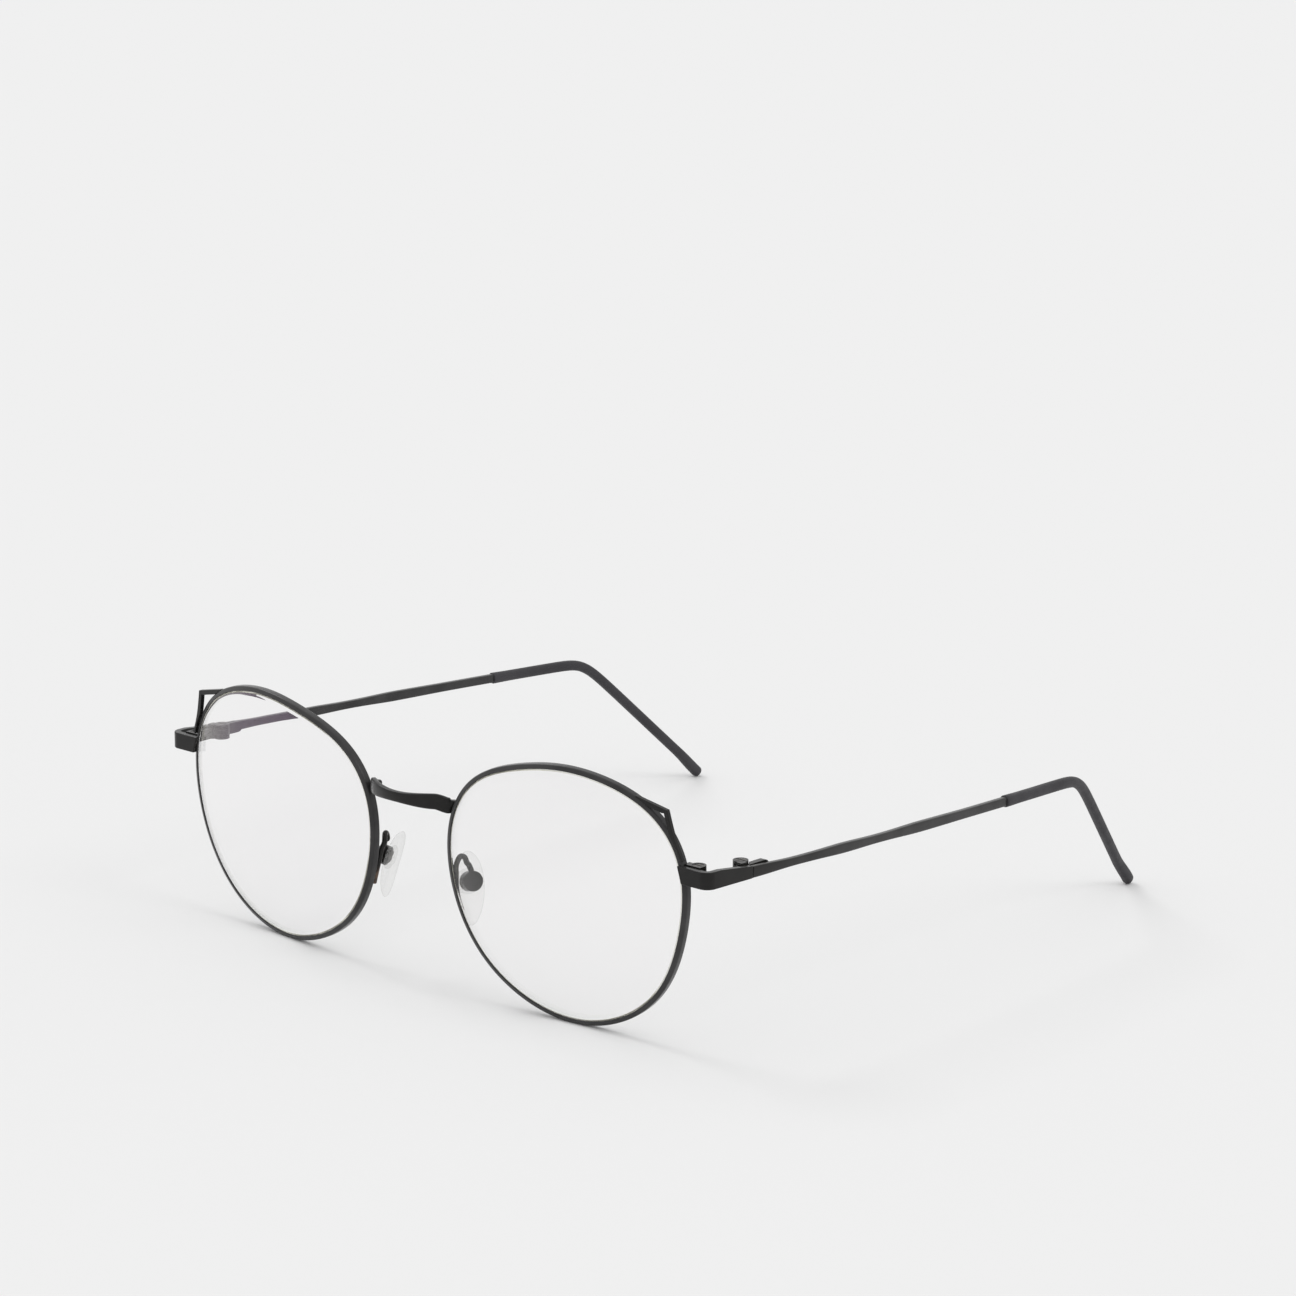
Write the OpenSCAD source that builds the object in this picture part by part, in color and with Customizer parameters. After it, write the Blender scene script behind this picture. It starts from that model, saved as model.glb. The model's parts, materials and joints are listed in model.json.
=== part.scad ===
// Round metal eyeglass frame with cat-ear corner trims.
// Millimetres. X runs across the face, the front looks along -Y, the temples run back along +Y, Z is up.
// Z = 0 is the table that the eyewires and the temple tips stand on.

/* [Eyewire outline] */
// Width of one lens opening
lens_w = 52.8; // [48:0.1:56]
// Height of one lens opening
lens_h = 47.1; // [43:0.1:50]
// Distance between the two lens openings at the nose
lens_gap = 21.2; // [18:0.1:24]
// How much flatter the brow is than the bottom of the opening
brow_flat = 0.8; // [0:0.1:1.4]
// How much fuller the outline is on the nose side than on the temple side
nose_full = 0.33; // [0:0.05:0.6]
// How much fuller the four corners of the outline are than an ellipse
corner_full = 0.25; // [0:0.05:0.5]
// Upward twist of the outline at the temple side
outline_skew = 0.15; // [0:0.05:0.4]
// How much the outline is crowned at the middle of the brow, between two flatter stretches
brow_crown = 0.14; // [0:0.02:0.2]
// Radius of the base curve of the front
base_curve_r = 81; // [65:1:130]
// Wrap of each lens about the upright axis, in degrees
wrap = 5.4; // [0:0.2:8]
// Forward lean of the brow, in degrees
tilt = 3.6; // [0:0.2:7]

/* [Eyewire section] */
// Width of the wire across the lens edge
rim_w = 0.9; // [0.75:0.05:1.2]
// Depth of the wire from front to back
rim_t = 1.4; // [1.2:0.1:2.2]
// Depth of the lens groove
groove_d = 0.42; // [0.3:0.02:0.5]
// Mouth of the lens groove
groove_w = 0.8; // [0.6:0.05:1]
// Chamfer on the corners of the wire
rim_chamfer = 0.18; // [0.05:0.01:0.2]
// Opening where the wire is cut for the lock blocks
rim_cut = 0.16; // [0.1:0.02:0.3]

/* [Lens] */
// Thickness of the lens
lens_t = 1.8; // [1.4:0.1:2.4]
// Clearance of the lens in its groove
lens_clear = 0.06; // [0.04:0.01:0.1]
// Straight land between the front of the lens and its bevel
lens_land = 0.05; // [0.02:0.01:0.2]

/* [Cat-ear trims] */
// Reach of the ear's corner beyond the wire
ear_reach = 2.9; // [2.5:0.1:4.5]
// Place of the ear's corner around the outline, in degrees from level
ear_angle = 39; // [36:1:44]
// Angle from the corner to the upper root of the ear
ear_up = 12; // [11:1:20]
// Angle from the corner to the lower root of the ear
ear_down = 18; // [13:1:19]
// Width of the ear's bars
ear_bar = 0.95; // [0.7:0.05:1.2]
// Width of the ear's lower bar beyond the wire where it ends above the end piece
ear_tail = 0.6; // [0.4:0.05:0.8]
// How far the ear's lower bar is drawn in at its middle
ear_waist = 0.35; // [0:0.05:0.5]
// Depth of the ear from front to back
ear_t = 0.85; // [0.6:0.05:1.2]

/* [Bridge] */
// Height of the bridge bar at its middle
bridge_h = 2.05; // [1.6:0.05:3]
// Height of the bridge bar where it meets the wires
bridge_end_h = 3.1; // [2.4:0.1:3.4]
// Thickness of the bridge bar
bridge_t = 1.2; // [1:0.05:1.6]
// How far the middle of the bridge stands forward of the wires
bridge_bow = 3.45; // [2:0.05:5]
// How far the middle of the bridge stands above its ends
bridge_rise = 0.9; // [0:0.1:2]
// How far the bridge feet run back past the front of the wires
bridge_foot = 2; // [1.8:0.1:3.4]
// Height of the bridge feet
foot_h = 1.45; // [1:0.05:2]
// Height of the bridge ends above the middle of the lens
bridge_z = 10.3; // [8:0.1:12.5]

/* [End pieces] */
// Reach of the end piece from the lens opening to its outer face
lug_reach = 7.6; // [7.3:0.1:10]
// Length of the end piece from front to joint
lug_len = 11.4; // [10.5:0.1:14]
// Thickness of the end piece
lug_t = 1.3; // [1:0.05:1.6]
// Height of the end piece at the front
lug_h = 3.2; // [2.8:0.1:4]
// Height of the end piece at the joint
lug_end_h = 2.25; // [2:0.05:2.6]
// Outer radius of the end piece's corner
lug_r = 2; // [1.7:0.1:2.6]
// Height of the end piece's underside above the middle of the lens
lug_z = 6.5; // [4:0.1:8]
// Outward splay of the end piece's arm towards the joint, in degrees
lug_splay = 2; // [0:0.5:8]
// How far the end piece stands forward of the wire
lug_proud = 0.55; // [0.4:0.05:0.8]
// How far the end piece laps over the lens opening
lug_lap = 0.25; // [0:0.05:0.4]

/* [Lock blocks] */
// Radius of the round back of a lock block
lock_r = 1.5; // [1.35:0.05:1.7]
// Distance from the wire to the round back of a lock block
lock_web = 0.3; // [0.2:0.05:0.6]
// Height of one lock block
lock_h = 1.75; // [1.5:0.05:2.4]
// Radius of the lock screw's shank
lock_screw_r = 0.6; // [0.5:0.05:0.7]

/* [Hinges] */
// Radius of the hinge barrel
barrel_r = 1.4; // [1.2:0.05:1.6]
// Height of the whole hinge barrel
barrel_h = 2.8; // [2.6:0.1:3.4]
// Radius of the hinge screw
hinge_screw_r = 0.6; // [0.5:0.05:0.7]
// Radial clearance of the hinge screw in its knuckles
pin_clear = 0.04; // [0.02:0.01:0.08]
// Clearance between the knuckles, one above the other
knuckle_clear = 0.06; // [0.04:0.01:0.1]
// Distance from the barrel to the inner face of the temple
hinge_set = 0.45; // [0.3:0.05:0.8]
// Clearance between the hinge's moving faces
hinge_clear = 0.25; // [0.15:0.01:0.35]
// Thickness of the hinge leaves
leaf_t = 1.25; // [1:0.05:1.6]
// Length of the hinge leaf on the end piece
front_leaf = 5; // [4:0.1:6]
// Length of the hinge leaf on the temple
rear_leaf = 5.2; // [4:0.1:7]

/* [Temples] */
// Length of the temple from the joint to the ear bend, along the head
temple_len = 98.5; // [88:0.5:108]
// Length of the tip behind the ear bend, along the head
tip_len = 26.5; // [22:0.5:32]
// Fall of the straight temple, per millimetre of length
temple_fall = 0.04; // [0.02:0.005:0.06]
// How far the temples draw in towards the head at the ear bend
temple_bow = 4.4; // [2:0.1:7]
// How far the tips draw in below the ear bend
tip_in = 8.6; // [4:0.1:11]
// Thickness of the temple bar across the head
temple_t = 1.3; // [1:0.05:1.6]
// Height of the temple bar between its swells
temple_h = 1.5; // [1.3:0.05:2]
// Extra height of the front swell
swell_front = 0.35; // [0:0.05:0.6]
// Extra height of the rear swell
swell_rear = 0.45; // [0:0.05:0.8]
// How much deeper the bar is behind the rear swell
rear_deeper = 0.25; // [0:0.05:0.4]
// Radius of the wire inside the tip
core_r = 0.5; // [0.4:0.05:0.6]
// Thickness of the tip sleeve across the head
tip_w = 2; // [1.6:0.05:3]
// Height of the tip sleeve
tip_h = 2.1; // [1.8:0.05:4]
// How much slimmer the sleeve is behind the ear bend, as a share
tip_slim = 0.06; // [0:0.01:0.15]
// How far the last of the tip turns out again
tip_flare = 0.7; // [0:0.1:1]
// Length of sleeve ahead of the ear bend
sleeve_lead = 25; // [16:0.5:30]
// Clearance of the wire in the sleeve
sleeve_clear = 0.05; // [0.03:0.01:0.1]

/* [Nose pads] */
// Length of a nose pad
pad_l = 13.4; // [12:0.1:15]
// Width of a nose pad
pad_w = 5.2; // [4.8:0.1:5.6]
// Thickness of a nose pad
pad_t = 1.7; // [1.4:0.1:2.2]
// Height of the pad box below the middle of the lens
pad_drop = 3.6; // [2:0.1:6]
// Distance of the pad screw behind the back of the wire
pad_back = 3.3; // [2.8:0.1:4]
// Distance of the pad screw outward from the nose side of the wire
pad_out = 1.6; // [1.2:0.1:2.2]
// Outward flare of the pad's foot, in degrees
pad_flare = 15; // [8:1:22]
// Splay of the pads towards the back, in degrees
pad_splay = 18; // [14:1:26]
// Lean of the pads, with their tops further back, in degrees
pad_lean = 3; // [0:1:4]
// Radius of the pad box
box_r = 1.85; // [1.6:0.05:1.95]
// Depth of the pad box
box_d = 1.8; // [1.7:0.1:2.4]
// Wall of the pad box
box_wall = 0.35; // [0.25:0.05:0.4]
// Radius of the pad screw
pad_screw_r = 0.4; // [0.3:0.05:0.5]
// Clearance that lets the pad rock in its box
pad_clear = 0.25; // [0.2:0.05:0.3]
// Radius of the pad arm's wire
arm_r = 0.5; // [0.4:0.05:0.55]
// Height of the pad arm's loop above the box
arm_loop = 4.6; // [4.2:0.1:5.6]

/* [Hidden] */
$fn = 48;

black = "#2b2b2d";
tip_grey = "#4b494e";
steel = "#8d8a86";
clear = "#dfe3e4";

// Rings along the eyewire and points around the tubes
rim_steps = 80;
tube_sides = 10;
// Play left between soldered pieces, so that each stays its own solid
seam = 0.02;

// Outline and placing of one lens, on the +X side
function outline_r(t) = (lens_w + lens_h)/4 + (lens_w - lens_h)/4*cos(2*t) + outline_skew*sin(2*t)
  + brow_flat*sin(3*t) - nose_full*cos(3*t) + corner_full*(1 - cos(4*t))
  + brow_crown*(sin(5*t) + cos(2*t) - cos(6*t));
function sag(u, v) = base_curve_r - sqrt(base_curve_r*base_curve_r - u*u - v*v);
function place(u, v, w) = [
  lens_x + u*cos(wrap) + (v*sin(tilt) - w*cos(tilt))*sin(wrap),
  u*sin(wrap) + (w*cos(tilt) - v*sin(tilt))*cos(wrap),
  lens_z + v*cos(tilt) + w*sin(tilt)
];
// Point at angle t, d outside the opening and w behind the front of the wire
function on_wire(t, d = 0, w = 0) =
  let (r = outline_r(t) + d, u = r*cos(t), v = r*sin(t)) place(u, v, sag(u, v) + w);

nose_r = outline_r(180);
foot_r = outline_r(270) + rim_w;
lens_x = lens_gap/2 + nose_r*cos(wrap) + sag(nose_r, 0)*sin(wrap);
lens_z = foot_r*cos(tilt) - sag(foot_r, 0)*sin(tilt);

// The wire is cut at the middle of the lock blocks, behind the end piece
lug_bottom = lens_z + lug_z;
cut_z = lug_bottom + lug_h/2;
cut_t = asin((cut_z - lens_z)/outline_r(15));
cut_in = on_wire(cut_t);
cut_out = on_wire(cut_t, rim_w);

// End piece, joint and hinge axis
lug_front = cut_in[1] - lug_proud;
lug_x0 = cut_in[0] - lug_lap;
lug_x1 = cut_in[0] + lug_reach;
joint_y = lug_front + lug_len;
joint_gap = 0.2;
hinge_x = lug_x1 - lug_t - hinge_set - barrel_r;
hinge_y = joint_y + joint_gap;
hinge_z = lug_bottom + barrel_h/2;
knuckle_h = (barrel_h - 2*knuckle_clear)/3;

// Temple line, from the joint back
temple_y = joint_y + joint_gap;
temple_x = lug_x1 - lug_t/2;
temple_z = lug_bottom + lug_end_h/2 - 0.05;
bend_y = temple_y + temple_len;
bend_r = 6;
end_y = bend_y + tip_len;

// Where the bridge meets the wires
bridge_t0 = 180 - asin(bridge_z/outline_r(157));
bridge_end = on_wire(bridge_t0, rim_w + seam);

// Where the nose pads sit, level with a point on the nose side of the wire
pad_height = lens_z - pad_drop;
nose_t = 180 + asin(pad_drop/outline_r(190));
wire_nose = on_wire(nose_t, rim_w, rim_t);
pad_at = [wire_nose[0] + pad_out, wire_nose[1] + pad_back, pad_height];

// Middle of the model along Y, where the origin goes
front_y = bridge_end[1] - bridge_bow - bridge_t/2;
mid_y = (front_y + end_y + tip_h*0.49)/2;

function smooth(a) = let (c = max(0, min(1, a))) c*c*(3 - 2*c);
function bump(y, at, half) = exp(-pow((y - at)/half, 2));
function norm3(v) = v/norm(v);

// Smooth curve through hand-picked points
function curve(p, i, f) = let (
    a = p[max(0, i - 1)], b = p[i], c = p[min(len(p) - 1, i + 1)], d = p[min(len(p) - 1, i + 2)]
  ) 0.5*(2*b + (c - a)*f + (2*a - 5*b + 4*c - d)*f*f + (3*b - a - 3*c + d)*f*f*f);
function through(p, n) = [for (i = [0:len(p) - 2]) for (k = [0:n - 1]) curve(p, i, k/n), p[len(p) - 1]];
function heading(p, i) = norm3(p[min(len(p) - 1, i + 1)] - p[max(0, i - 1)]);

// Flat ring of points round p: `a` along `side` and `b` along the third direction
function ring(p, dir, side, a, b, n = tube_sides, power = 1) = let (
    s = norm3(side - dir*(side*dir)), u = cross(dir, s)
  ) [for (k = [0:n - 1]) let (q = 360*(k + 0.5)/n, c = cos(q), d = sin(q))
      p + s*a*sign(c)*pow(abs(c), power) + u*b*sign(d)*pow(abs(d), power)];

// Solid through a row of rings, with flat ends unless the row closes on itself
module skin(rings) {
  n = len(rings[0]);
  m = len(rings);
  faces = [for (i = [0:m - 2]) for (j = [0:n - 1]) let (
      a = i*n + j, b = i*n + (j + 1)%n, c = b + n, d = a + n
    ) each [[a, c, b], [a, d, c]]];
  polyhedron([for (r = rings) each r],
    concat(faces, [[for (j = [0:n - 1]) j]], [[for (j = [n - 1:-1:0]) (m - 1)*n + j]]), convexity = 10);
}

// Puts a piece that is modelled on the +X side on the left (+X) or right (-X), with the origin in the middle
module on_side(side) {
  translate([0, -mid_y, 0]) if (side == "right") mirror([1, 0, 0]) children(); else children();
}

wire_section = [
  [0, rim_chamfer], [rim_chamfer, 0], [rim_w - rim_chamfer, 0], [rim_w, rim_chamfer],
  [rim_w, rim_t - rim_chamfer], [rim_w - rim_chamfer, rim_t], [rim_chamfer, rim_t], [0, rim_t - rim_chamfer],
  [0, (rim_t + groove_w)/2], [groove_d, rim_t/2], [0, (rim_t - groove_w)/2]
];

// Eyewire: grooved wire bent round the lens and cut at the lock blocks
module eyewire(side) {
  cut = rim_cut/2/outline_r(cut_t)*180/PI;
  color(black) on_side(side) skin([for (i = [0:rim_steps])
    let (t = cut_t + cut + i*(360 - 2*cut)/rim_steps) [for (q = wire_section) on_wire(t, q[0], q[1])]]);
}

// Space that the wire fills, grown by the seam, for what is shaped to fit on it
module wire_envelope(t0, t1, steps) {
  skin([for (i = [0:steps]) let (t = t0 + i*(t1 - t0)/steps) [
    on_wire(t, -0.5, -seam), on_wire(t, rim_w + seam, -seam),
    on_wire(t, rim_w + seam, rim_t + seam), on_wire(t, -0.5, rim_t + seam)
  ]]);
}

// Lens: a meniscus that follows the base curve, with a bevel in the groove
module lens(side) {
  mid_w = rim_t/2;
  bevel_w = groove_w/2 - lens_clear;
  front_w = mid_w - bevel_w - lens_land;
  edge = [
    [-lens_clear, front_w], [-lens_clear, mid_w - bevel_w], [groove_d - 2*lens_clear, mid_w],
    [-lens_clear, mid_w + bevel_w], [-lens_clear, front_w + lens_t]
  ];
  function level(share, w) = [for (i = [0:rim_steps - 1]) let (
      t = cut_t - i*360/rim_steps, r = share*(outline_r(t) - lens_clear), u = r*cos(t), v = r*sin(t)
    ) place(u, v, sag(u, v) + w)];
  color(clear, 0.35) on_side(side) skin(concat(
    [for (s = [0.12, 0.45, 0.75]) level(s, front_w)],
    [for (q = edge) [for (i = [0:rim_steps - 1]) on_wire(cut_t - i*360/rim_steps, q[0], q[1])]],
    [for (s = [0.75, 0.45, 0.12]) level(s, front_w + lens_t)]
  ));
}

// Cat-ear trim: two straight bars that leave the wire and meet at a sharp corner
ear_r = outline_r(ear_angle) + rim_w + ear_reach;
ear_root_up = ear_angle + ear_up;
ear_root_down = ear_angle - ear_down;
function polar(t, r) = [r*cos(t), r*sin(t)];
// Distance from the centre to the line through the points at a and b, seen at angle t, moved in by k
function line_r(t, a, ra, b, rb, k) = let (
    p = polar(a, ra), q = polar(b, rb), dir = (q - p)/norm(q - p), n = [dir[1], -dir[0]], h = p*n
  ) (abs(h) - k)/abs(n[0]*cos(t) + n[1]*sin(t));
// Thickness of the ear's upper bar where it runs out on the wire
ear_lead = 0.17;
module ear_trim(side) {
  wire_r = rim_w + seam;
  function waist(t) = t > ear_angle ? 0 : ear_waist*sin(180*(t - ear_root_down)/ear_down);
  function outer(t) = -waist(t) + (t > ear_angle
    ? line_r(t, ear_angle, ear_r, ear_root_up, outline_r(ear_root_up) + rim_w + ear_lead, 0)
    : line_r(t, ear_angle, ear_r, ear_root_down, outline_r(ear_root_down) + rim_w + ear_tail, 0));
  function inner(t) = max(outline_r(t) + wire_r, -waist(t) + (t > ear_angle
    ? line_r(t, ear_angle, ear_r, ear_root_up, outline_r(ear_root_up) + rim_w + ear_lead, ear_bar)
    : line_r(t, ear_angle, ear_r, ear_root_down, outline_r(ear_root_down) + rim_w + ear_tail, ear_bar)));
  steps = 9;
  stations = concat(
    [for (i = [0:steps]) ear_root_down + i*ear_down/steps],
    [for (i = [1:steps]) ear_angle + i*ear_up/steps]);
  depth = (sag(outline_r(ear_root_up), 0) + sag(outline_r(ear_root_down), 0))/2;
  function at(t, r, w) = place(r*cos(t), r*sin(t), depth + w);
  color(black) on_side(side) skin([for (t = stations) [
    at(t, inner(t), 0), at(t, outer(t), 0), at(t, outer(t), ear_t), at(t, inner(t), ear_t)
  ]]);
}

// Bridge line: an arch across the nose, from foot to foot, that bows forward
arch = 80;
// The bar deepens and drops towards its ends, and turns into the foot over the last of each half
function deepen(f) = smooth((abs(f) - 0.4)/0.4);
function falling(f) = smooth((abs(f) - 0.6)/0.36);
function foot(f) = smooth((abs(f) - 0.85)/0.15);
// Extra thickness of the feet towards the wires
foot_more = 0.7;
function on_bridge(f) = let (x = bridge_end[0] - bridge_t/2 - 0.3, q = sin(arch*f)/sin(arch)) [
  x*q,
  bridge_end[1] + bridge_foot - (bridge_bow + bridge_foot)*(cos(arch*f) - cos(arch))/(1 - cos(arch)),
  bridge_end[2] + bridge_rise*(1 - falling(f)) + foot(f)*(bridge_end_h - foot_h)/2
];
module bridge() {
  steps = 28;
  place_at = [for (i = [-steps/2:steps/2]) i/steps*2];
  line = [for (f = place_at) on_bridge(f)];
  function bar(f) = bridge_h + (bridge_end_h - bridge_h)*deepen(f);
  color(black) translate([0, -mid_y, 0]) difference() {
    skin([for (i = [0:steps]) let (f = place_at[i], h = bar(f) + (foot_h - bar(f))*foot(f))
      ring(line[i], heading(line, i), [0, 0, 1], h/2, (bridge_t + foot_more*foot(f))/2, 12, 0.7)]);
    for (s = [0, 1]) mirror([s, 0, 0]) wire_envelope(bridge_t0 - 10, bridge_t0 + 12, 6);
  }
}

// Plan of the end piece: across the front of the wire, round the corner and back to the joint
corner_y = lug_front + lug_r;
corner_x = lug_x1 - (joint_y - corner_y)*tan(lug_splay) - lug_r/cos(lug_splay);
module along_arm() {
  translate([corner_x, corner_y]) rotate(-lug_splay) children();
}
module lug_plan() {
  translate([lug_x0, lug_front]) square([corner_x - lug_x0, lug_t]);
  // The arm starts a little inside the corner, so that the two join
  along_arm() translate([lug_r - lug_t, -0.1]) square([lug_t, lug_len + 0.1]);
  intersection() {
    translate([corner_x, corner_y]) difference() {
      circle(lug_r);
      circle(lug_r - lug_t);
    }
    polygon([[corner_x, corner_y], [corner_x, lug_front - 1], [lug_x1 + 1, lug_front - 1],
      [corner_x + 9*cos(lug_splay), corner_y - 9*sin(lug_splay)]]);
  }
}
module end_piece(side) {
  top = lug_bottom + lug_h;
  end_top = lug_bottom + lug_end_h;
  side_x = lug_x1 + seam;
  c = 0.35;
  color(black) on_side(side) difference() {
    intersection() {
      translate([0, 0, lug_bottom - 1]) linear_extrude(lug_h + 2) lug_plan();
      translate([lug_x0 - 1, 0, 0]) rotate([90, 0, 90]) linear_extrude(lug_reach + 2) polygon([
        [lug_front - 1, lug_bottom], [joint_y, lug_bottom], [joint_y, end_top],
        [corner_y + 1.5, top], [lug_front - 1, top]
      ]);
      translate([0, joint_y + 1, 0]) rotate([90, 0, 0]) linear_extrude(lug_len + 2) polygon([
        [lug_x0 + 1.2, lug_bottom], [side_x - c/2, lug_bottom], [side_x, lug_bottom + c/2],
        [side_x, top - c/2], [side_x - c/2, top], [lug_x0 + c, top], [lug_x0, top - c]
      ]);
    }
    wire_envelope(cut_t - 7, cut_t + 9, 4);
  }
}

// Lock blocks: soldered to the two ends of the wire behind the end piece, and closed by a screw
lock_y0 = lug_front + lug_t + seam;
lock_mid = [cut_out[0] + lock_r + lock_web, lock_y0 + 1.2, cut_z];
lock_screw_len = 2*lock_h + rim_cut;
lock_head_h = 0.5;
lock_head_r = lock_screw_r + 0.4;
module lock_block(side, up) {
  base = cut_z + (up ? rim_cut/2 : -rim_cut/2 - lock_h);
  color(black) on_side(side) difference() {
    translate([0, 0, base]) linear_extrude(lock_h) {
      intersection() {
        translate([lock_mid[0], lock_mid[1]]) circle(lock_r);
        translate([lock_mid[0] - lock_r, lock_y0]) square(2*lock_r);
      }
      translate([lock_mid[0] - lock_r, lock_y0]) square([2*lock_r, lock_mid[1] - lock_y0]);
      translate([cut_out[0] - 0.5, lock_y0]) square([lock_r + 1, 1.5]);
    }
    wire_envelope(cut_t - 7, cut_t + 9, 4);
    translate([lock_mid[0], lock_mid[1], 0]) cylinder(r = lock_screw_r + pin_clear, h = 4*cut_z);
    if (up) translate([lock_mid[0], lock_mid[1], base + lock_h - lock_head_h])
      cylinder(r = lock_head_r + 0.05, h = 1);
  }
}
module lock_screw(side) {
  color(steel) on_side(side) translate(lock_mid) {
    translate([0, 0, -lock_screw_len/2]) cylinder(r = lock_screw_r, h = lock_screw_len - lock_head_h + seam);
    translate([0, 0, lock_screw_len/2 - lock_head_h + seam]) difference() {
      cylinder(r = lock_head_r, h = 0.42);
      translate([-2, -0.12, 0.2]) cube([4, 0.24, 1]);
    }
  }
}

// Hinge: two knuckles on the end piece, one on the temple, and a screw through all three
leaf_x = lug_x1 - lug_t - leaf_t;
function knuckle_base(i) = -barrel_h/2 + i*(knuckle_h + knuckle_clear);
head_h = 0.45;
// The temple leaf ends in a half round, and its underside is flush with the temple
round_r = 1.05;
leaf_low = -barrel_h/2 + 0.1;
head_r = hinge_screw_r + 0.38;
module hinge_front(side) {
  color(black) on_side(side) translate([hinge_x, hinge_y, hinge_z]) difference() {
    union() {
      for (i = [0, 2]) translate([0, 0, knuckle_base(i)]) {
        cylinder(r = barrel_r, h = knuckle_h);
        translate([leaf_x - hinge_x - 0.4, joint_y - hinge_y - 0.9, 0]) cube([leaf_t - 0.3, 1.5, knuckle_h]);
      }
      translate([lug_x1 - hinge_x, joint_y - hinge_y, 0]) rotate(-lug_splay) {
        translate([-lug_t - leaf_t, -front_leaf, -barrel_h/2 + 0.15])
          cube([leaf_t - seam, front_leaf - 0.15, lug_end_h - 0.3]);
        translate([-lug_t - leaf_t, -1.6, -barrel_h/2]) cube([leaf_t - seam, 1.4, barrel_h]);
      }
    }
    translate([0, 0, knuckle_base(1) - knuckle_clear])
      cylinder(r = barrel_r + hinge_clear, h = knuckle_h + 2*knuckle_clear);
    cylinder(r = hinge_screw_r + pin_clear, h = 2*barrel_h, center = true);
    translate([0, 0, barrel_h/2 - head_h]) cylinder(r = head_r + pin_clear, h = 1);
  }
}
module hinge_rear(side) {
  back = temple_y - hinge_y + 0.3;
  leaf_h = 2*round_r;
  color(black) on_side(side) translate([hinge_x, hinge_y, hinge_z]) difference() {
    union() {
      translate([0, 0, knuckle_base(1)]) {
        cylinder(r = barrel_r, h = knuckle_h);
        translate([-0.3, 0, 0]) cube([leaf_x - hinge_x + leaf_t + 0.1, back + 1, knuckle_h]);
      }
      translate([leaf_x - hinge_x, back, leaf_low]) cube([leaf_t - seam, rear_leaf - round_r, leaf_h]);
      translate([leaf_x - hinge_x, back + rear_leaf - round_r, leaf_low + round_r]) rotate([0, 90, 0])
        cylinder(r = round_r, h = leaf_t - seam);
    }
    for (i = [0, 2]) translate([0, 0, knuckle_base(i) - 1 + i/2])
      cylinder(r = barrel_r + hinge_clear, h = knuckle_h + 1);
    cylinder(r = hinge_screw_r + pin_clear, h = 2*barrel_h, center = true);
  }
}
module hinge_screw(side) {
  color(steel) on_side(side) translate([hinge_x, hinge_y, hinge_z]) {
    translate([0, 0, -barrel_h/2]) cylinder(r = hinge_screw_r, h = barrel_h - head_h + seam);
    translate([0, 0, barrel_h/2 - head_h + seam]) difference() {
      cylinder(r = head_r, h = head_h);
      translate([-2, -0.12, head_h - 0.2]) cube([4, 0.24, 1]);
    }
  }
}

// Temple line: straight along the head, down round the ear bend, then straight to the tip
function fall(y) = temple_z - temple_fall*(y - temple_y);
tip_z = 0.523*tip_h;
// The sleeve swells out again over this length at its end
bulb_len = 5;
drop = fall(bend_y) - tip_z;
function bend(y) = let (s = (y - bend_y)/bend_r) bend_r*(s + ln(1 + exp(-4*s))/4);
function on_temple(y) = let (
    s = (y - temple_y)/temple_len, g = bend(y)/bend(end_y)
  ) [
    temple_x - temple_bow*min(s, 1)*min(s, 1) - 2*temple_bow*max(0, s - 1)*0.2 - (tip_in - 0.5)*g
      + tip_flare*smooth((y - end_y + bulb_len)/bulb_len),
    y,
    fall(min(y, bend_y)) - g*drop
  ];
sleeve_y = bend_y - sleeve_lead;
swell_1 = temple_y + 25;
swell_2 = temple_y + 47;
function bar_h(y) = temple_h + rear_deeper*smooth((y - swell_2)/10)
  + (lug_end_h - temple_h - 0.1)*smooth(1 - (y - temple_y)/12)
  + swell_front*bump(y, swell_1, 6) + swell_rear*bump(y, swell_2, 7);
module temple(side) {
  bar_y = [for (y = [0, 2, 4, 6, 8.5, 11, 14, 17.5, 21, 25, 29, 33, 37, 41, 44, 47, 51, 55, 60, 66])
    temple_y + y];
  core_y = [for (i = [0:18]) sleeve_y + i*(end_y - 3 - sleeve_y)/18];
  bar = [for (y = bar_y) if (y < sleeve_y - 2) on_temple(y), on_temple(sleeve_y - 0.3)];
  core = [for (y = core_y) on_temple(y)];
  color(black) on_side(side) skin(concat(
    [for (i = [0:len(bar) - 1])
      ring(bar[i], heading(bar, i), [0, 0, 1], bar_h(bar[i][1])/2, temple_t/2, tube_sides, 0.6)],
    [for (i = [0:len(core) - 1]) ring(core[i], heading(core, i), [0, 0, 1], core_r, core_r, tube_sides, 1)]
  ));
}
function tip_share(y) = 1 + 0.06*bump(y, sleeve_y, 3) - tip_slim*smooth((y - bend_y + 4)/8)
  + (tip_slim + 0.06)*smooth((y - end_y + bulb_len + 1)/bulb_len);
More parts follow.
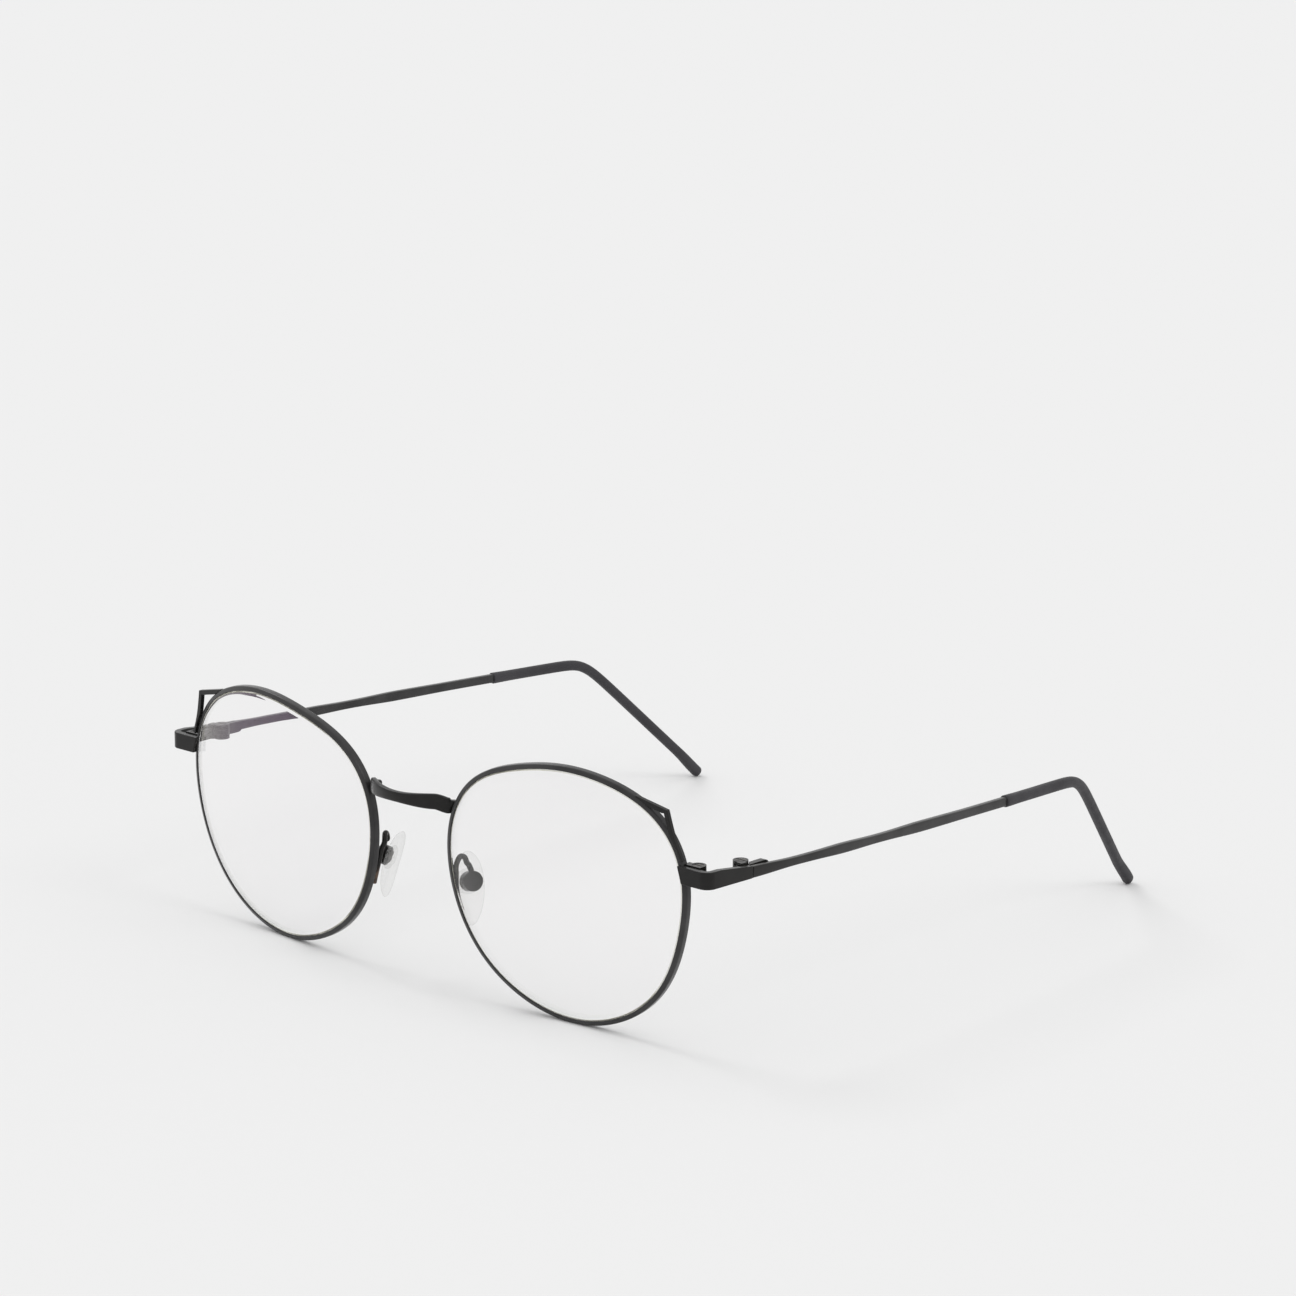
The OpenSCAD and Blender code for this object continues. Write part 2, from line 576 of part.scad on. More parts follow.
module temple_tip(side) {
  ys = concat([for (i = [0:4]) sleeve_y + i*(sleeve_lead - 7)/4],
    [for (i = [1:10]) bend_y - 7 + i*1.6], [for (i = [1:5]) bend_y + 9 + i*(end_y - bend_y - 9)/5]);
  line = [for (y = ys) on_temple(y)];
  last = len(line) - 1;
  dir = heading(line, last);
  bore_y = concat([sleeve_y - 1], [for (i = [0:18]) sleeve_y + i*(end_y - 2.6 - sleeve_y)/18]);
  bore = [for (y = bore_y) on_temple(y)];
  color(tip_grey) on_side(side) difference() {
    skin(concat(
      [for (i = [0:last]) let (k = tip_share(ys[i]))
        ring(line[i], heading(line, i), [1, 0, 0], k*tip_w/2, k*tip_h/2, 12, 0.85)],
      [for (a = [30, 60, 85]) let (k = tip_share(end_y)*cos(a))
        ring(line[last] + dir*sin(a)*tip_h*0.45, dir, [1, 0, 0], k*tip_w/2, k*tip_h/2, 12, 0.85)]
    ));
    skin([for (i = [0:len(bore) - 1]) ring(bore[i], heading(bore, i), [0, 0, 1],
      core_r + sleeve_clear, core_r + sleeve_clear, tube_sides, 1)]);
  }
}

// Nose pads: a gooseneck arm, a box with a cross screw, a stud that rocks on it and a clear pad
module at_pad() {
  translate(pad_at) rotate([0, -pad_flare, -pad_splay]) rotate([-pad_lean, 0, 0]) children();
}
function pad_point(v) = let (
    y = v[1]*cos(pad_lean) + v[2]*sin(pad_lean), up = v[2]*cos(pad_lean) - v[1]*sin(pad_lean),
    x = v[0]*cos(pad_flare) - up*sin(pad_flare), z = v[0]*sin(pad_flare) + up*cos(pad_flare)
  ) pad_at + [x*cos(pad_splay) + y*sin(pad_splay), y*cos(pad_splay) - x*sin(pad_splay), z];
box_in = 0.6;
stud_r = box_r - box_wall - pad_clear;
module pad_arm(side) {
  loop = pad_at + [-1.3, -1.9, arm_loop];
  points = [
    for (t = [12, 7, 2, -3]) on_wire(nose_t + t, rim_w - 0.05, rim_t + arm_r + 3*seam),
    loop + [-0.5, -0.4, -1.5], loop, loop + [0.6, 0.9, -0.9],
    pad_point([0.65, -0.4, box_r + 1.1]), pad_point([0.75, 0, box_r + seam])
  ];
  line = through(points, 3);
  color(black) on_side(side) difference() {
    skin([for (i = [0:len(line) - 1]) ring(line[i], heading(line, i), [1, 0.2, 0], arm_r, arm_r, 8, 1)]);
    at_pad() rotate([0, 90, 0]) cylinder(r = box_r + seam, h = 8, center = true);
  }
}
module pad_box(side) {
  color(black) on_side(side) at_pad() difference() {
    translate([-box_in, 0, 0]) rotate([0, 90, 0]) cylinder(r = box_r, h = box_d);
    translate([-box_in - 1, 0, 0]) rotate([0, 90, 0])
      cylinder(r = box_r - box_wall, h = box_d + 1 - box_wall);
    rotate([90, 0, 0]) cylinder(r = pad_screw_r + seam, h = 4*box_r, center = true);
  }
}
module pad_screw(side) {
  color(steel) on_side(side) at_pad() {
    rotate([90, 0, 0]) cylinder(r = pad_screw_r, h = 2*box_r, center = true);
    translate([0, box_r, 0]) rotate([-90, 0, 0]) difference() {
      cylinder(r = pad_screw_r + 0.25, h = 0.3);
      translate([-1, -0.1, 0.15]) cube([2, 0.2, 1]);
    }
  }
}
// The stud rocks on the screw, and its round plate is held inside the pad
plate_x = -box_in - pad_clear - 0.1;
plate_t = 0.45;
plate_r = box_r + 0.5;
module pad_core(side) {
  color(steel) on_side(side) at_pad() difference() {
    union() {
      intersection() {
        translate([plate_x - 0.1, 0, 0]) rotate([0, 90, 0])
          cylinder(r = stud_r, h = box_d - box_in - box_wall - pad_clear - plate_x - 0.1);
        cube([20, 2*stud_r - 0.5, 4*stud_r], center = true);
      }
      translate([plate_x - plate_t, 0, 0]) rotate([0, 90, 0]) cylinder(r = plate_r, h = plate_t);
    }
    rotate([90, 0, 0]) cylinder(r = pad_screw_r + pin_clear, h = 4*box_r, center = true);
  }
}
// The pad's middle lies this far behind its box, this far below it and this far to the nose side of it
pad_set = 0.6;
pad_low = 1.3;
pad_face = -0.5;
module nose_pad(side) {
  n = 28;
  function pad_ring(k, x) = [for (i = [0:n - 1]) let (a = -360*i/n, c = cos(a), s = sin(a))
    [x - 0.5*k*s*s, c*pad_w/2*k*(1 + 0.15*s) + pad_set, s*pad_l/2*k - pad_low]];
  pocket_r = box_r + 0.35;
  color(clear, 0.5) on_side(side) at_pad() difference() {
    skin([for (q = [[0.72, 0], [0.9, -0.1], [1, -0.42], [0.97, -0.68], [0.8, -0.9], [0.45, -1]])
      pad_ring(q[0], pad_face + q[1]*pad_t)]);
    translate([plate_x + seam, 0, 0]) rotate([0, 90, 0]) cylinder(r = pocket_r, h = 4);
    translate([plate_x - plate_t - seam, 0, 0]) rotate([0, 90, 0])
      cylinder(r = plate_r + seam, h = plate_t + 2*seam);
  }
}

eyewire("right");  // eyewire_right
eyewire("left");  // eyewire_left
lens("right");  // lens_right
lens("left");  // lens_left
bridge();
ear_trim("right");  // ear_trim_right
ear_trim("left");  // ear_trim_left
lock_block("right", true);  // lock_upper_right
lock_block("left", true);  // lock_upper_left
lock_block("right", false);  // lock_lower_right
lock_block("left", false);  // lock_lower_left
lock_screw("right");  // lock_screw_right
lock_screw("left");  // lock_screw_left
end_piece("right");  // end_piece_right
end_piece("left");  // end_piece_left
hinge_front("right");  // hinge_front_right
hinge_front("left");  // hinge_front_left
hinge_screw("right");  // hinge_screw_right
hinge_screw("left");  // hinge_screw_left
hinge_rear("right");  // hinge_rear_right
hinge_rear("left");  // hinge_rear_left
temple("right");  // temple_right
temple("left");  // temple_left
temple_tip("right");  // temple_tip_right
temple_tip("left");  // temple_tip_left
pad_arm("right");  // pad_arm_right
pad_arm("left");  // pad_arm_left
pad_box("right");  // pad_box_right
pad_box("left");  // pad_box_left
pad_screw("right");  // pad_screw_right
pad_screw("left");  // pad_screw_left
pad_core("right");  // pad_core_right
pad_core("left");  // pad_core_left
nose_pad("right");  // nose_pad_right
nose_pad("left");  // nose_pad_left
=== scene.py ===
# Round metal eyeglass frame with cat-ear corners: its looks, light and camera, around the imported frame.
# Shapes are in millimetres of the wearer's left half (+X), and are mirrored for the right half. Angles are in
# degrees, and on a lens they turn about its middle, from the temple side up over the brow.
import json
import math

import bmesh
import bpy
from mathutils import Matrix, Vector


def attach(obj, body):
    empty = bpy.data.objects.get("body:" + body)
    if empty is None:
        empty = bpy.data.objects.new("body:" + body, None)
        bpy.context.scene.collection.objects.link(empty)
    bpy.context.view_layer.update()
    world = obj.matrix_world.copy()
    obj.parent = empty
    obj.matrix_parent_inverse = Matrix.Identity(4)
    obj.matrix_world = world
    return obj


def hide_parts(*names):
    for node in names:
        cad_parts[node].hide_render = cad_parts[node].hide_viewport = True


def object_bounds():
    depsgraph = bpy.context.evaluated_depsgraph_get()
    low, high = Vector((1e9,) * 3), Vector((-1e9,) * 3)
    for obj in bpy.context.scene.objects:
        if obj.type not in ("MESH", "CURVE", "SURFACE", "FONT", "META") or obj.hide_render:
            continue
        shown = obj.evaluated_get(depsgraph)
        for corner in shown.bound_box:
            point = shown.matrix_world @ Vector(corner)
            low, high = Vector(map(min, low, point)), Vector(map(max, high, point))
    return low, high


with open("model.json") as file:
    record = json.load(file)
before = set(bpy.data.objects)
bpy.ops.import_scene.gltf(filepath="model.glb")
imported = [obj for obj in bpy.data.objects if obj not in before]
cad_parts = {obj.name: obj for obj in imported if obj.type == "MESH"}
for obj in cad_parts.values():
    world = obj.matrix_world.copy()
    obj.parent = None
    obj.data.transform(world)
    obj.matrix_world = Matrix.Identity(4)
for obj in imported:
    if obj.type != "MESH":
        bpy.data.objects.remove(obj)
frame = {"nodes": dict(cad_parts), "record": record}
cadBox = [list(corner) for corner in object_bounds()]
jointAt = {joint["name"]: [1000*c for c in joint["pos_m"]] for joint in frame["record"]["behaviour"]["joints"]}
sides = {"left": 1, "right": -1}
print("frame loaded")

# Lens opening and the wire round it
lensShape = {
    "width": 52.8, "height": 47.1, "gap": 21.2, "browFlat": 0.8, "noseFull": 0.33, "cornerFull": 0.25,
    "skew": 0.15, "crown": 0.14, "baseCurve": 81.0, "wrap": 5.4, "tilt": 3.6,
}
wireShape = {
    "width": 0.9, "depth": 1.4, "grooveDepth": 0.42, "grooveWidth": 0.8, "corner": 0.24, "innerCorner": 0.16,
    "lip": 0.07, "cutGap": 0.16, "steps": 300,
}


def cosD(angle):
    return math.cos(math.radians(angle))


def sinD(angle):
    return math.sin(math.radians(angle))


def tanD(angle):
    return math.tan(math.radians(angle))


def outlineRadius(t):
    s = lensShape
    return ((s["width"] + s["height"])/4 + (s["width"] - s["height"])/4*cosD(2*t) + s["skew"]*sinD(2*t)
            + s["browFlat"]*sinD(3*t) - s["noseFull"]*cosD(3*t) + s["cornerFull"]*(1 - cosD(4*t))
            + s["crown"]*(sinD(5*t) + cosD(2*t) - cosD(6*t)))


def sag(u, v):
    r = lensShape["baseCurve"]
    return r - math.sqrt(r*r - u*u - v*v)


def turnAtHeight(height, near):
    # The turn, on the temple side, at which the outline stands this high over the lens's middle
    return math.degrees(math.asin(height/outlineRadius(near)))


noseRadius = outlineRadius(180)
footRadius = outlineRadius(270) + wireShape["width"]
lensX = (lensShape["gap"]/2 + noseRadius*cosD(lensShape["wrap"])
         + sag(noseRadius, 0)*sinD(lensShape["wrap"]))
lensZ = footRadius*cosD(lensShape["tilt"]) - sag(footRadius, 0)*sinD(lensShape["tilt"])


def placeOnLens(u, v, w):
    wrap, tilt = lensShape["wrap"], lensShape["tilt"]
    return Vector((
        lensX + u*cosD(wrap) + (v*sinD(tilt) - w*cosD(tilt))*sinD(wrap),
        u*sinD(wrap) + (w*cosD(tilt) - v*sinD(tilt))*cosD(wrap),
        lensZ + v*cosD(tilt) + w*sinD(tilt),
    ))


def onWire(t, outward=0.0, back=0.0):
    r = outlineRadius(t) + outward
    u, v = r*cosD(t), r*sinD(t)
    return placeOnLens(u, v, sag(u, v) + back)


# End piece, from the lens opening round the corner to the joint
lugShape = {
    "reach": 7.6, "length": 11.4, "thick": 1.3, "height": 3.2, "endHeight": 2.25, "corner": 2.0, "cornerSteps": 12,
    "aboveMiddle": 6.5, "splay": 2.0, "proud": 0.55, "lap": 0.25, "jointGap": 0.2, "closer": 0.06, "edge": 0.2,
    "cutBack": 1.0, "straight": 0.6, "slopeAfter": 1.5, "near": 15,
}
lugBottom = lensZ + lugShape["aboveMiddle"]
cutAngle = turnAtHeight(lugShape["aboveMiddle"] + lugShape["height"]/2, lugShape["near"])
cutIn = onWire(cutAngle)
lugFront = cutIn.y - lugShape["proud"]
lugStart = cutIn.x - lugShape["lap"]
lugOuter = cutIn.x + lugShape["reach"]
jointY = lugFront + lugShape["length"]
templeY = jointY + lugShape["jointGap"]
midY = templeY - jointAt["fold_left"][1]


def toFrame(point, side):
    return Vector((point[0]*side, point[1] - midY, point[2]))/1000


# Making a piece: a closed skin over a row of rings
def addObject(name, data):
    thing = bpy.data.objects.new(name, data)
    bpy.context.scene.collection.objects.link(thing)
    return thing


edgeRounding = {"segments": 3, "sharperThan": 35}


def softenEdges(piece, width):
    bevel = piece.modifiers.new("soft edges", "BEVEL")
    bevel.width = width/1000
    bevel.segments = edgeRounding["segments"]
    bevel.limit_method = "ANGLE"
    bevel.angle_limit = math.radians(edgeRounding["sharperThan"])
    bevel.harden_normals = True


def skinFaces(ringCount, ringSize):
    faces = []
    for i in range(ringCount - 1):
        for j in range(ringSize):
            a, b = i*ringSize + j, i*ringSize + (j + 1) % ringSize
            faces.append((a, b, b + ringSize, a + ringSize))
    faces.append(tuple(range(ringSize)))
    faces.append(tuple(range((ringCount - 1)*ringSize, ringCount*ringSize)))
    return faces


def skinPiece(name, rings, side, body, slotName, replaced, finish=None, bevel=0.0, sharpAt=38):
    mesh = bpy.data.meshes.new(name)
    mesh.from_pydata([toFrame(p, side) for ring in rings for p in ring], [], skinFaces(len(rings), len(rings[0])))
    work = bmesh.new()
    work.from_mesh(mesh)
    bmesh.ops.recalc_face_normals(work, faces=work.faces)
    work.to_mesh(mesh)
    work.free()
    mesh.shade_smooth()
    mesh.set_sharp_from_angle(angle=math.radians(sharpAt))
    mesh.materials.append(finish or finishes[slotName])
    piece = addObject(name, mesh)
    if bevel:
        softenEdges(piece, bevel)
    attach(piece, body)
    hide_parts(*replaced)
    return piece


def smooth(share):
    share = max(0.0, min(1.0, share))
    return share*share*(3 - 2*share)


def bump(y, at, half):
    return math.exp(-((y - at)/half)**2)


def heading(line, i):
    return (line[min(len(line) - 1, i + 1)] - line[max(0, i - 1)]).normalized()


def tubeRing(middle, along, sideways, halfA, halfB, count, power=1.0):
    # An ellipse at power 1, nearer to a rectangle the lower the power is
    across = (sideways - along*sideways.dot(along)).normalized()
    third = along.cross(across)
    ring = []
    for k in range(count):
        turn = math.tau*(k + 0.5)/count
        c, s = math.cos(turn), math.sin(turn)
        ring.append(middle + across*(halfA*math.copysign(abs(c)**power, c))
                    + third*(halfB*math.copysign(abs(s)**power, s)))
    return ring


def curveThrough(points, steps):
    line = []
    for i in range(len(points) - 1):
        a, b = points[max(0, i - 1)], points[i]
        c, d = points[i + 1], points[min(len(points) - 1, i + 2)]
        for k in range(steps):
            f = k/steps
            line.append(0.5*(2*b + (c - a)*f + (2*a - 5*b + 4*c - d)*f*f + (3*b - a - 3*c + d)*f**3))
    line.append(points[-1])
    return line


def filletSection(corners, steps=4):
    # corners: (x, y, radius); each corner becomes a short arc
    section = []
    for i, (x, y, radius) in enumerate(corners):
        here = Vector((x, y))
        before = (Vector(corners[i - 1][:2]) - here).normalized()
        after = (Vector(corners[(i + 1) % len(corners)][:2]) - here).normalized()
        for k in range(steps + 1):
            f = k/steps
            section.append(here + before*radius*(1 - f)**2 + after*radius*f**2)
    return section


# Finishes
def newFinish(name):
    finish = bpy.data.materials.new(name)
    finish.use_nodes = True
    return finish, finish.node_tree, finish.node_tree.nodes["Principled BSDF"]


def setSockets(node, values):
    for key, value in values.items():
        node.inputs[key].default_value = value


def addNode(tree, kind, values=None, **settings):
    node = tree.nodes.new(kind)
    for key, value in settings.items():
        setattr(node, key, value)
    setSockets(node, values or {})
    return node


def addMath(tree, operation, *fields):
    node = addNode(tree, "ShaderNodeMath", operation=operation)
    for i, field in enumerate(fields):
        tree.links.new(field, node.inputs[i])
    return node.outputs[0]


def mixShaders(tree, share, first, second):
    mix = addNode(tree, "ShaderNodeMixShader")
    if isinstance(share, float):
        mix.inputs[0].default_value = share
    else:
        tree.links.new(share, mix.inputs[0])
    tree.links.new(first, mix.inputs[1])
    tree.links.new(second, mix.inputs[2])
    return mix.outputs["Shader"]


def seeThrough(tree, tint):
    return addNode(tree, "ShaderNodeBsdfTransparent", {"Color": (*tint, 1)}).outputs["BSDF"]


def placeAlong(tree, axis):
    place = addNode(tree, "ShaderNodeTexCoord")
    parts = addNode(tree, "ShaderNodeSeparateXYZ")
    tree.links.new(place.outputs["Object"], parts.inputs[0])
    return parts.outputs[axis]


def noiseField(tree, scale, detail=3.0):
    place = addNode(tree, "ShaderNodeTexCoord")
    noise = addNode(tree, "ShaderNodeTexNoise", {"Scale": scale, "Detail": detail, "Roughness": 0.55})
    tree.links.new(place.outputs["Object"], noise.inputs["Vector"])
    return noise.outputs["Fac"]


def spread(tree, field, low, high, start=0.35, end=0.65):
    # The start and end that stand here are where most of a noise lies
    remap = addNode(tree, "ShaderNodeMapRange", {"From Min": start, "From Max": end, "To Min": low, "To Max": high})
    tree.links.new(field, remap.inputs["Value"])
    return remap.outputs["Result"]


def blendColours(tree, field, first, second):
    # Each end is a plain colour or the output of another blend
    mix = addNode(tree, "ShaderNodeMix", data_type="RGBA")
    ends = {"A_Color": first, "B_Color": second}
    for socket in mix.inputs:
        end = ends.get(socket.identifier)
        if isinstance(end, tuple):
            socket.default_value = (*end, 1)
        elif end is not None:
            tree.links.new(end, socket)
    tree.links.new(field, mix.inputs["Factor"])
    return [socket for socket in mix.outputs if socket.identifier == "Result_Color"][0]


def mottle(tree, scale, first, second):
    return blendColours(tree, spread(tree, noiseField(tree, scale), 0, 1), first, second)


def varyGloss(tree, shader, scale, low, high):
    tree.links.new(spread(tree, noiseField(tree, scale), low, high), shader.inputs["Roughness"])


def addGrain(tree, shader, scale, strength, height):
    relief = addNode(tree, "ShaderNodeBump", {"Strength": strength, "Distance": height})
    tree.links.new(noiseField(tree, scale, 2.0), relief.inputs["Height"])
    tree.links.new(relief.outputs["Normal"], shader.inputs["Normal"])


# Lacquer: darker on the plates and bars than on the eyewires and temples. The lighter wire tone is painted light: a
# lighter copy of the same black lacquer that stands in for the sheen of light on their rounded edges. Patches, gloss
# and grain start with the scale of their noise, and places on the object are in metres.
lacquerLook = {
    "plate": ((0.0060, 0.0056, 0.0052), (0.0105, 0.0098, 0.0092)),
    "wire": ((0.026, 0.0255, 0.0258), (0.044, 0.043, 0.0437)),
    "patches": 140, "gloss": (700, 0.34, 0.44), "grain": (2600, 0.12, 0.00002),
    "sockets": {"Specular IOR Level": 0.08, "Coat Weight": 0.6, "Coat Roughness": 0.14, "Coat IOR": 1.35,
                "Sheen Weight": 0.10, "Sheen Roughness": 0.35},
}
solderLook = {"colour": (0.10, 0.066, 0.048), "below": (0.0185, 0.0200), "spots": 420, "spotShare": (0.42, 0.55)}
fadeLength = 0.024  # of the temple's dark front end


def blackLacquer(tone, soldered=False, darkUntil=None):
    look = lacquerLook
    finish, tree, shader = newFinish("satin black lacquer " + tone)
    colour = mottle(tree, look["patches"], *look[tone])
    if soldered:
        # Bare brown solder shows in spots on the arm's foot
        low = spread(tree, placeAlong(tree, "Z"), 1, 0, *solderLook["below"])
        spots = spread(tree, noiseField(tree, solderLook["spots"]), 0, 1, *solderLook["spotShare"])
        colour = blendColours(tree, addMath(tree, "MULTIPLY", low, spots), colour, solderLook["colour"])
    if darkUntil:
        # The temple starts as dark as the end piece and turns to the lighter tone along its length; the lighter tone
        # is painted light
        along = spread(tree, placeAlong(tree, "Y"), 0, 1, darkUntil - fadeLength, darkUntil)
        colour = blendColours(tree, along, look["plate"][1], colour)
    tree.links.new(colour, shader.inputs["Base Color"])
    varyGloss(tree, shader, *look["gloss"])
    addGrain(tree, shader, *look["grain"])
    setSockets(shader, look["sockets"])
    return finish


sleeveLook = {"dark": (0.025, 0.0238, 0.0275), "light": (0.037, 0.035, 0.040), "patches": 90,
              "gloss": (500, 0.48, 0.6), "grain": (1500, 0.2, 0.00004), "shine": 0.4}


def sleeveResin():
    look = sleeveLook
    finish, tree, shader = newFinish("matt grey sleeve")
    colour = mottle(tree, look["patches"], look["dark"], look["light"])
    tree.links.new(colour, shader.inputs["Base Color"])
    varyGloss(tree, shader, *look["gloss"])
    addGrain(tree, shader, *look["grain"])
    setSockets(shader, {"Specular IOR Level": look["shine"]})
    return finish


screwLook = {"dark": (0.055, 0.052, 0.050), "light": (0.12, 0.112, 0.105), "patches": 900,
             "gloss": (2500, 0.28, 0.42)}


def screwSteel():
    look = screwLook
    finish, tree, shader = newFinish("turned steel")
    colour = mottle(tree, look["patches"], look["dark"], look["light"])
    tree.links.new(colour, shader.inputs["Base Color"])
    varyGloss(tree, shader, *look["gloss"])
    setSockets(shader, {"Metallic": 1.0})
    return finish


def letLightThrough(tree, surface, tint):
    # Shadow and diffuse rays pass straight through, so that the clear piece doesn't darken the floor
    path = addNode(tree, "ShaderNodeLightPath")
    passing = addMath(tree, "MAXIMUM", path.outputs["Is Shadow Ray"], path.outputs["Is Diffuse Ray"])
    output = [node for node in tree.nodes if node.type == "OUTPUT_MATERIAL"][0]
    tree.links.new(mixShaders(tree, passing, surface, seeThrough(tree, tint)), output.inputs["Surface"])


# The coating's reflection, painted by place across the lens: weak near the nose, purple in the middle, warm near the
# joint
lensLook = {"dark": (0.985, 0.98, 0.985), "light": (0.995, 0.99, 0.99), "patches": 14,
            "shadow": (0.995, 0.995, 0.995), "nose": (0.26, 0.25, 0.25), "middle": (0.95, 0.62, 1.0),
            "joint": (1.0, 0.86, 0.76), "noseTo": (0.020, 0.032), "jointFrom": (0.046, 0.060),
            "sockets": {"Transmission Weight": 1.0, "Roughness": 0.0, "IOR": 1.53}}


def lensResin():
    look = lensLook
    finish, tree, shader = newFinish("coated lens")
    tree.links.new(mottle(tree, look["patches"], look["dark"], look["light"]), shader.inputs["Base Color"])
    # Painted reflection: the reflection's strength and hue follow the place across the lens
    fromMiddle = addMath(tree, "ABSOLUTE", placeAlong(tree, "X"))
    paintedReflectionTint = blendColours(tree, spread(tree, fromMiddle, 0, 1, *look["noseTo"]), look["nose"], look["middle"])
    paintedReflectionTint = blendColours(tree, spread(tree, fromMiddle, 0, 1, *look["jointFrom"]), paintedReflectionTint, look["joint"])
    tree.links.new(paintedReflectionTint, shader.inputs["Specular Tint"])
    setSockets(shader, look["sockets"])
    letLightThrough(tree, shader.outputs["BSDF"], look["shadow"])
    return finish


# The lens's ground edge: pale, matt and slightly yellow
groundLook = {"dark": (0.86, 0.84, 0.72), "light": (0.92, 0.90, 0.79), "patches": 900, "gloss": (2500, 0.55, 0.7),
              "clearShare": 0.45, "shadow": (0.99, 0.99, 0.99)}


def groundResin():
    look = groundLook
    finish, tree, shader = newFinish("ground lens edge")
    tree.links.new(mottle(tree, look["patches"], look["dark"], look["light"]), shader.inputs["Base Color"])
    varyGloss(tree, shader, *look["gloss"])
    surface = mixShaders(tree, look["clearShare"], shader.outputs["BSDF"], seeThrough(tree, (1, 1, 1)))
    letLightThrough(tree, surface, look["shadow"])
    return finish


# Pads: mostly see-through, with a faint grey body that thickens where the surface turns away
siliconeLook = {"dark": (0.60, 0.60, 0.595), "light": (0.66, 0.66, 0.655), "patches": 260,
                "gloss": (1200, 0.25, 0.35), "through": (0.985, 0.985, 0.983), "body": (0.035, 0.26),
                "turn": 0.35, "shadow": (0.95, 0.95, 0.95), "ior": 1.41}


def padSilicone():
    look = siliconeLook
    finish, tree, shader = newFinish("clear silicone")
    tree.links.new(mottle(tree, look["patches"], look["dark"], look["light"]), shader.inputs["Base Color"])
    varyGloss(tree, shader, *look["gloss"])
    setSockets(shader, {"IOR": look["ior"]})
    turned = addNode(tree, "ShaderNodeLayerWeight", {"Blend": look["turn"]})
    share = spread(tree, turned.outputs["Facing"], *look["body"], 0, 1)
    surface = mixShaders(tree, share, seeThrough(tree, look["through"]), shader.outputs["BSDF"])
    letLightThrough(tree, surface, look["shadow"])
    return finish


finishes = {"black_metal": blackLacquer("plate"), "screw_steel": screwSteel(), "lens": lensResin(),
            "tip_sleeve": sleeveResin(), "pad_silicone": padSilicone()}
# Eyewires take the lighter tone, which is painted light on one black lacquer
paintedLightWireLacquer = blackLacquer("wire")
solderedLacquer = blackLacquer("plate", soldered=True)
paintedLightTempleLacquer = blackLacquer("wire", darkUntil=(templeY - midY)/1000 + fadeLength)
groundEdge = groundResin()
for entry in frame["record"]["subparts"]:
    node = frame["nodes"][entry["node"]]
    node.data.materials.clear()
    node.data.materials.append(finishes[entry["material_slot"]])
print("finishes made")


# Eyewire: grooved wire, rounded on its outer edges, cut at the lock blocks
def buildEyewire(name, side):
    w = wireShape
    middle, half = w["depth"]/2, w["grooveWidth"]/2
    section = filletSection([
        (0, 0, w["innerCorner"]), (w["width"], 0, w["corner"]), (w["width"], w["depth"], w["corner"]),
        (0, w["depth"], w["innerCorner"]), (0, middle + half, w["lip"]), (w["grooveDepth"], middle, w["lip"]),
        (0, middle - half, w["lip"]),
    ])
    cut = math.degrees(w["cutGap"]/2/outlineRadius(cutAngle))
    turns = [cutAngle + cut + i*(360 - 2*cut)/w["steps"] for i in range(w["steps"] + 1)]
    rings = [[onWire(t, q.x, q.y) for q in section] for t in turns]
    skinPiece("eyewire." + name, rings, side, "front", "black_metal", ["eyewire_" + name], paintedLightWireLacquer, sharpAt=50)


# Lens: meniscus with a bevel in the groove, and a rounded front edge whose outer part is ground
lensBlank = {"thick": 1.95, "clear": 0.06, "land": 0.05, "roundWide": 0.72, "roundDeep": 0.22, "roundSteps": 6,
             "roundSlope": 0.6, "rearEdge": 0.12, "around": 240, "faceSteps": 16, "centre": 0.02, "rearStart": 0.98}


def buildLens(name, side):
    b, w = lensBlank, wireShape
    middle = w["depth"]/2
    bevel = w["grooveWidth"]/2 - b["clear"]
    face = middle - bevel - b["land"] - b["roundDeep"]
    rear = face + b["thick"]
    steps, slope = b["roundSteps"], b["roundSlope"]
    around = [cutAngle - i*360/b["around"] for i in range(b["around"])]

    def level(share, back):
        ring = []
        for t in around:
            r = share*(outlineRadius(t) - b["clear"])
            u, v = r*cosD(t), r*sinD(t)
            ring.append(placeOnLens(u, v, sag(u, v) + back))
        return ring

    shares = [b["centre"]] + [i/b["faceSteps"] for i in range(1, b["faceSteps"])]
    edge = [(-b["clear"] - b["roundWide"]*(1 - f), face + b["roundDeep"]*f*(slope + (1 - slope)*f))
            for f in (k/steps for k in range(steps + 1))]
    edge += [(-b["clear"], middle - bevel), (w["grooveDepth"] - 2*b["clear"], middle), (-b["clear"], middle + bevel),
             (-b["clear"], rear - b["rearEdge"]), (-b["clear"] - b["rearEdge"], rear)]
    rings = [level(share, face) for share in shares]
    rings += [[onWire(t, outward, back) for t in around] for outward, back in edge]
    rings += [level(share, rear) for share in [b["rearStart"]] + shares[::-1]]
    lens = skinPiece("lens." + name, rings, side, "front", "lens", ["lens_" + name], sharpAt=6)
    # Ground from the middle of the rounding to the ridge of the bevel
    lens.data.materials.append(groundEdge)
    groundFrom, groundTo = len(shares) + steps//2 + 1, len(shares) + steps + 2
    for polygon in lens.data.polygons[groundFrom*len(around):groundTo*len(around)]:
        polygon.material_index = 1


# Cat-ear trim: two straight bars from the wire to a sharp corner
earShape = {"reach": 2.9, "angle": 39, "up": 12, "down": 18, "bar": 0.95, "tail": 0.6, "waist": 0.35,
            "lead": 0.17, "thick": 0.85, "edge": 0.16, "sunk": 0.05, "steps": 26}


